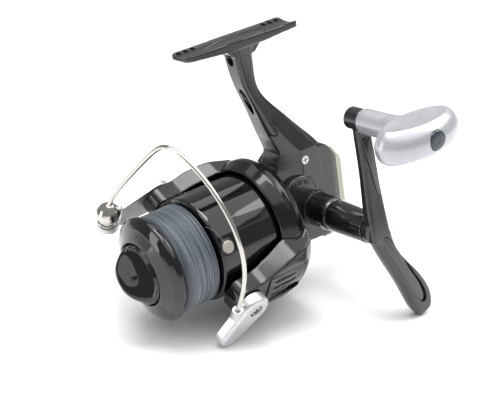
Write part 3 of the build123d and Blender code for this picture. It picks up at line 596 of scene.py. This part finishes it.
def make_shoulder():
    """The faceted flank that carries the stem's ridge down into the gear case."""
    fine = []
    for upper, lower in zip(SHOULDER_STATIONS, SHOULDER_STATIONS[1:]):
        fine += [[a + (b - a) * k / SHOULDER_STRIPS for a, b in zip(upper, lower)]
                 for k in range(SHOULDER_STRIPS)]
    fine.append(SHOULDER_STATIONS[-1])
    rings = []
    for z, x0, y0, x1, y1, x2 in fine:
        half = [(x0, y0), (x1, y1), (x2, y1)]
        ring = half + [(x, -y) for x, y in reversed(half)]
        rings.append([(x, y, z) for x, y in ring])
    return loft("shoulder", rings, AXIS)


def trough(y):
    """Height of the foot's trough at y."""
    return FOOT_TOP - TROUGH_DEPTH + TROUGH_RADIUS - sqrt(TROUGH_RADIUS ** 2 - y ** 2)


def make_cover():
    cover = copy_of("side_cover", "handle_side_cover")
    soft_cast(cover, 0.34, 5, 0.6)
    finish(cover, "body", "case_black", ["side_cover"], 50)


BULGE = (-18.8, 9.0)            # x and z of the bulge's centre
BULGE_RADIUS = 11.7
BULGE_FACE = 13.6               # y where the rim and the windows stand
RIM_RADII = (10.9, 10.3)
RIM_SPAN = (8, 172)             # degrees
WINDOW_ANGLES = (62, 92, 122)   # degrees
WINDOW_RING = 8.4               # radius of the ring that the windows are on


def make_trim():
    """The round bulge behind the handle boss, with three small framed windows along its arc, their panes painted
    near black as shade.
    """
    x0, z0 = BULGE
    bulge = prism("boss_bulge", circle(x0, z0, BULGE_RADIUS, 96), 4.0, 13.7, AXIS, "xz")
    soft_edges(bulge, 0.9, 4)
    finish(bulge, "body", "case_black", ["trim_plate"])
    rim = arc_band(x0, z0, *RIM_RADII)
    finish(prism("bulge_rim", rim, BULGE_FACE, 14.0, AXIS, "xz"), "body", "case_black")
    outer = rounded_box(1.9, 1.1, 0.5)
    inner = rounded_box(1.35, 0.6, 0.3)
    for count, angle in enumerate(WINDOW_ANGLES):
        turn = Matrix.Rotation(radians(-angle + 90), 4, "Y")
        place = (AXIS @ Matrix.Translation((x0, BULGE_FACE, z0)) @ turn
                 @ Matrix.Translation((0, 0, WINDOW_RING)))
        border = prism(f"window_frame_{count}", outer, 0, 0.55, place, "xz")
        soft_edges(border, 0.18)
        finish(border, "body", "case_black")
        # Painted shade: the near-black pane stands in for the shade inside the window's recess.
        finish(prism(f"window_{count}", inner, 0.1, 0.62, place, "xz"), "body", "recess")


def arc_band(x0, z0, outer, inner):
    """A flat band along the arc RIM_SPAN, as a closed outline."""
    start, end = RIM_SPAN
    steps = 48
    angles = [radians(start + (end - start) * k / steps) for k in range(steps + 1)]
    line = [(x0 + outer * cos(a), z0 + outer * sin(a)) for a in angles]
    return line + [(x0 + inner * cos(a), z0 + inner * sin(a)) for a in reversed(angles)]


def make_guard():
    guard = copy_of("rear_guard", "rear_guard_shell")
    soft_cast(guard, 0.3, 4, 0.7)
    finish(guard, "body", "guard_champagne", ["rear_guard"], 50)


# ---------------------------------------------------------------- rotor and bail

def make_rotor():
    rotor = copy_of("rotor", "rotor_casting")
    soft_cast(rotor, 0.42, 14, 0.5)
    finish(rotor, "rotor", "rotor_black", ["rotor"], 60)
    lid = copy_of("bail_arm_cover", "bail_side_lid")
    soft_cast(lid, 0.25, 3, 0.6)
    finish(lid, "rotor", "rotor_black", ["bail_arm_cover"], 60)
    lid = copy_of("counter_arm_cover", "counter_side_lid")
    finish(lid, "rotor", "rotor_black", ["counter_arm_cover"], 30)


WIRE_RADIUS = 1.25
WIRE_ROUTE = [(69.0, 3.2, 44.0), (69.0, 6.0, 44.0), (68.2, 14.0, 42.6), (62.4, 40.0, 33.2),
              (59.2, 54.0, 27.6), (57.4, 61.4, 23.2), (56.0, 64.0, 15.0), (53.4, 62.8, 2.0),
              (50.6, 56.0, -15.0), (48.4, 43.0, -31.0), (48.0, 28.0, -40.2), (49.4, 14.0, -43.4),
              (50.0, 6.0, -43.6), (50.0, -7.6, -43.6)]
BAIL_PIVOT = (40.0, -2.0, 0)      # in the BAIL frame, as the wire and the roller are
SCREW_SEAT = 44.6                 # height of the pivot screws' heads along the pivot
ROLLER_PLACE = (69.0, 0, 44.0)
ROLLER_BASE = -12.4               # where the roller's outlines start, along its own axis


def make_bail():
    for node, name in (("bail_lever", "bail_lever_arm"), ("counter_arm", "counter_lever_arm")):
        arm = copy_of(node, name)
        soft_cast(arm, 0.25, 7, 0.6)
        finish(arm, "bail", "silver", [node], 60)
    wire = tube("bail_wire_rod", WIRE_ROUTE, WIRE_RADIUS, BAIL, 20, 8)
    finish(wire, "bail", "wire_steel", ["bail_wire"], 60)
    for side, label in ((1, "bail"), (-1, "counter")):
        turn = Matrix.Rotation(-pi / 2 * side, 4, "Y")
        space = BAIL @ Matrix.Translation(BAIL_PIVOT) @ turn
        outline = [(SCREW_SEAT + x, r)
                   for x, r in ((0, 0), (0, 3.45), (1.6, 3.4), (2.4, 2.4), (2.7, 0))]
        head = turned(f"pivot_screw_head_{label}", outline, space, 64, 0.3)
        low, high = SCREW_SEAT + 1.2, SCREW_SEAT + 4
        bars = [prism("cross", rounded_box(a, b, 0.15), low, high, space, "yz")
                for a, b in ((2.0, 0.45), (0.45, 2.0))]
        cut(head, bars)
        finish(head, "rotor", "steel", (), 30)


def make_roller():
    space = BAIL @ Matrix.Translation(ROLLER_PLACE) @ SIDEWAYS
    dome = [(8.15, 0), (8.15, 6.6), (9.4, 6.9), (11.6, 6.5), (13.8, 5.2), (15.6, 3.2),
            (16.9, 1.5), (17.1, 0)]
    cap = turned("roller_dome", [(ROLLER_BASE + x, r) for x, r in dome], space, 96, 0.8)
    finish(cap, "bail", "wire_steel", ["roller_cap"])
    ring = [(3.4, 2.65), (3.4, 5.4), (4.3, 5.5), (5.1, 4.3), (6.3, 4.3), (7.1, 5.5), (7.9, 5.4),
            (7.9, 2.65)]
    roller = turned("line_roller_ring", [(ROLLER_BASE + x, r) for x, r in ring], space, 96, 0.35)
    finish(roller, "line_roller", "wire_steel", ["line_roller"])


# ---------------------------------------------------------------- spool

def make_spool():
    """Skirt, arbor, lip and drag well, all turned from one outline."""
    outline = [(6.0, 27.7), (6.0, 29.2), (7.2, 29.2), (7.6, 28.95), (8.4, 28.95), (8.8, 29.18),
               (30.0, 28.9), (44.6, 28.4), (46.0, 28.1), (46.6, 27.0), (47.4, 21.0), (68.6, 21.0),
               (69.4, 26.6), (70.4, 28.2), (72.0, 28.3), (73.2, 27.7), (75.0, 25.6), (76.0, 24.0),
               (76.25, 23.3), (77.6, 20.4), (78.7, 18.0), (78.8, 17.3), (78.2, 16.95),
               (74.0, 16.9), (74.0, 14.0), (60.0, 14.0), (60.0, 2.15), (52.0, 2.15), (52.0, 6.0),
               (56.0, 18.8), (46.4, 18.8), (44.2, 26.8)]
    spool = turned("spool_body", outline, AXIS, 192, 0.45)
    finish(spool, "spool", "spool_gloss", ["spool"], 40)


LINE_SPAN = (47.95, 68.15)      # x of the wound line's ends
LINE_RADIUS = 26.55
ARBOR_RADIUS = 21.1
TURNS = 58
TURN_STEPS = 4                  # outline points for one turn
TURN_RIPPLE = 0.07
END_DROP = 1.7                  # how far the pack's ends fall
CLIP_X = 42.2
CLIP_TURN = radians(-72.0)


def make_line():
    """The wound line: a barrel of fine turns."""
    start, end = LINE_SPAN
    outline = [(end, ARBOR_RADIUS), (start, ARBOR_RADIUS)]
    for k in range(TURNS * TURN_STEPS + 1):
        t = k / (TURNS * TURN_STEPS)
        x = start + (end - start) * t
        drop = END_DROP * max(0.0, 1 - min(t, 1 - t) * 14) ** 2
        ripple = TURN_RIPPLE * cos(2 * pi * k / TURN_STEPS)
        outline.append((x, LINE_RADIUS - drop + 0.12 * sin(9 * t) + ripple))
    pack = turned("wound_line", outline, AXIS, 160)
    finish(pack, "spool", "line", ["line_winding"], 60)


def make_clip():
    """A round sprung clip in a black ring, and the line's end that runs to it."""
    skirt = Matrix.Rotation(CLIP_TURN, 4, "X") @ Matrix.Translation((CLIP_X, 0, 0))
    space = AXIS @ skirt @ Matrix.Rotation(-pi / 2, 4, "Y")
    outline = [(28.2, 0), (28.2, 3.3), (29.3, 3.4), (29.8, 3.1), (30.05, 2.0), (30.1, 0)]
    disc = turned("line_clip_disc", outline, space, 64, 0.25)
    finish(disc, "spool", "clip_beige", ["line_clip"])
    outline = [(28.0, 3.55), (28.0, 4.5), (28.9, 4.45), (29.5, 4.1), (29.3, 3.55)]
    finish(turned("line_clip_seat", outline, space, 64, 0.2), "spool", "spool_gloss")
    end = [(48.2, 19.2, 20.0), (47.2, 20.8, 19.6), (46.0, 22.4, 18.6), (44.8, 25.0, 15.6),
           (44.0, 26.4, 13.4)]
    finish(tube("line_end", end, 0.16, AXIS, 8, 6), "spool", "line")


# ---------------------------------------------------------------- drag knob

GRIP_RADIUS = 15.3        # of the face that the grip stands on
GRIP_TURN = radians(-52.0)
GRIP_RINGS = 44
GRIP_SIDES = 144


def make_drag_knob():
    """A round base with a high arched grip across it and a hollow on each side of the grip."""
    angles = [2 * pi * k / GRIP_SIDES for k in range(GRIP_SIDES)]
    rings = []
    for step in range(GRIP_RINGS):
        rho = GRIP_RADIUS * (step + 0.5) / (GRIP_RINGS - 0.5)
        rings.append([grip_point(rho, angle) for angle in angles])
    for x, r in ((79.1, 15.9), (78.4, 16.35), (77.2, 16.45), (75.6, 15.8), (74.7, 15.2),
                 (74.7, 8.1), (76.0, 8.1), (76.0, 4.65), (85.6, 4.65), (85.9, 4.2), (85.9, 0.02)):
        rings.append([(x, r * cos(angle), r * sin(angle)) for angle in angles])
    knob = loft("drag_knob_grip", rings, AXIS @ Matrix.Rotation(GRIP_TURN, 4, "X"))
    finish(knob, "drag_knob", "spool_gloss", ["drag_knob"], 60)


def grip_point(rho, angle):
    """A point of the knob's face: a dished floor with the arch of the grip on it."""
    along = rho * cos(angle)
    aside = rho * sin(angle)
    edge = min(rho / GRIP_RADIUS, 1.0)
    hollow = 1.6 * exp(-((abs(aside) - 9.0) / 2.8) ** 2)
    floor = 77.9 + 2.1 * edge ** 7 - 1.0 * (1 - edge ** 2) - hollow
    arch = 14.2 * (1 - (abs(along) / 15.4) ** 2.4) ** 0.75
    flank = 1 / (1 + (abs(aside) / 3.9) ** 2.8)
    return (floor + arch * flank, along, aside)


# ---------------------------------------------------------------- handle

# The recesses in the crank arm's outer side, as outlines in x and z.
ARM_PANEL = [(-24.6, 50.2), (-31.0, 50.2), (-31.6, 40), (-31.4, 30), (-30.2, 17), (-28.4, 22),
             (-26.6, 36)]
LOBE_PANEL = [(-25.6, -3.5), (-29.6, -3.0), (-36.4, -15), (-42.4, -28), (-47.6, -38),
              (-49.6, -46), (-46.5, -49), (-42.5, -44), (-38.0, -34), (-32.6, -22), (-27.6, -12)]
INLAY_GAP = 0.25
INLAY_THICKNESS = 1.25


def make_handle():
    collar = turned("handle_collar_ring", [(16.75, 4.45), (16.75, 9.3), (29.0, 9.3), (30.2, 9.0),
                                           (31.1, 8.5), (31.1, 4.45)], HANDLE, 96, 0.5)
    finish(collar, "crank", "sleeve_gloss", ["handle_collar"])
    sleeve = turned("handle_sleeve_grip", [(31.3, 4.45), (31.3, 8.3), (32.0, 8.75), (34.0, 8.75),
                                           (57.4, 8.0), (57.4, 4.45)], HANDLE, 96, 0.4)
    finish(sleeve, "crank", "sleeve_gloss", ["handle_sleeve"])
    arm = copy_of("handle_arm", "crank_arm")
    soft_cast(arm, 0.34, 12)
    tools = []
    for shape, rounding, y, top, lean in (
            (ARM_PANEL, 3.0, 58.2, 70, leaning(58.2, 52, 62.2, 15)),
            (LOBE_PANEL, 4.0, 64.6, 80, leaning(64.6, -5, 68.2, -46))):
        tools.append(prism("recess", soften(shape, rounding), y, top, AXIS @ lean, "xz"))
    cut(arm, tools, solver="MANIFOLD")
    thin_out(arm, 0.6)
    for name, shape, y, lean in (
            ("arm_panel_inlay", ARM_PANEL, 57.7, leaning(57.7, 52, 61.7, 15)),
            ("lobe_inlay", LOBE_PANEL, 64.4, leaning(64.4, -5, 68.0, -46))):
        outline = shrunk(soften(shape, 3.0, 6), INLAY_GAP)
        inlay = prism(name, outline, y, y + INLAY_THICKNESS, AXIS @ lean, "xz")
        soft_edges(inlay, 0.9, 4, 50)
        finish(inlay, "crank", "sleeve_gloss", (), 50)
    finish(arm, "crank", "handle_black", ["handle_arm"], 40)


def shrunk(outline, gap):
    """The outline moved inwards by about gap, towards its centre."""
    centre = sum((Vector(p) for p in outline), Vector((0, 0))) / len(outline)
    return [p + (centre - p).normalized() * gap for p in outline]


def leaning(y0, z0, y1, z1):
    """Shears Y along Z so that the plane at y0 stays there at z0 and reaches y1 at z1."""
    slope = (y0 - y1) / (z0 - z1)
    shear = Matrix.Identity(4)
    shear[1][2] = slope
    shear[1][3] = -slope * z0
    return shear


PADDLE_CENTRE = 94.0              # along the spindle
PADDLE_HALF = (13.5, 25.0)        # half the plan along the spindle and across it
PADDLE_POWER = 2 / 1.9            # over 1 gives the oval its points
PADDLE_SIDES = 160
# How far each ring of the skin is in from the plan's outline, and its height.
PADDLE_RINGS = ((12.0, 7.9), (9.0, 8.0), (6.0, 8.2), (5.2, 8.3), (4.9, 8.3), (4.6, 8.15),
                (3.6, 7.4), (2.5, 6.3), (1.6, 5.0), (0.8, 3.4), (0.25, 1.7), (0.0, 0.0),
                (0.25, -2.6), (0.9, -4.8), (2.0, -6.6), (3.6, -8.0), (5.6, -8.5), (8.0, -8.5),
                (12.0, -8.5))


def make_knob():
    """A lens-shaped paddle with a flat top facet on a round neck, and a round cap in its rim."""
    angles = [2 * pi * k / PADDLE_SIDES for k in range(PADDLE_SIDES)]
    rings = [[paddle_point(inset, height, angle) for angle in angles]
             for inset, height in PADDLE_RINGS]
    paddle = loft("paddle", rings, KNOB)
    neck = turned("knob_neck", [(58.5, 3.95), (58.5, 6.0), (59.2, 6.35), (76, 6.6), (86, 7.4),
                                (90, 7.4), (90, 3.95)], KNOB, 96, 0.4)
    bore = turned("bore", [(50, 0), (50, 3.93), (103, 3.93), (103, 0)], KNOB, 64)
    seat = turned("cap_seat", [(104.9, 0), (104.9, 5.0), (112, 5.0), (112, 0)], KNOB, 64)
    cut(paddle, [bore, seat], solver="MANIFOLD")
    paddle.name = "paddle_knob"
    finish(paddle, "knob", "knob_pearl", ["knob_shell"], 30)
    finish(neck, "knob", "knob_pearl", ["knob_shell"], 30)
    cap = turned("knob_end_cap", [(103.5, 0), (103.5, 3.9), (105.0, 3.9), (105.0, 4.85),
                                  (106.6, 4.85), (107.15, 4.3), (107.4, 2.4), (107.45, 0)],
                 KNOB, 96, 0.3)
    finish(cap, "knob", "cap_blue", ["knob_cap"])


def paddle_point(inset, height, angle):
    """A point of the paddle's skin: its plan is a pointed oval, long across the spindle."""
    c, q = cos(angle), sin(angle)
    half_along, half_across = PADDLE_HALF
    along = (half_along - inset) * abs(c) ** PADDLE_POWER * (1 if c > 0 else -1)
    across = (half_across - inset * 1.15) * abs(q) ** PADDLE_POWER * (1 if q > 0 else -1)
    return (PADDLE_CENTRE + along, across, height)


# ---------------------------------------------------------------- CAD nodes that stay

def dress_cad_nodes():
    """Gives each CAD node the material of its slot."""
    for entry in frame["record"]["subparts"]:
        node = frame["nodes"][entry["node"]]
        node.data.materials.clear()
        node.data.materials.append(MATERIALS[entry["material_slot"]])


make_studio()
dress_cad_nodes()
make_housing()
make_cover()
make_guard()
make_trim()
make_rotor()
make_bail()
make_roller()
make_spool()
make_line()
make_clip()
make_drag_knob()
make_handle()
make_knob()
make_floor()
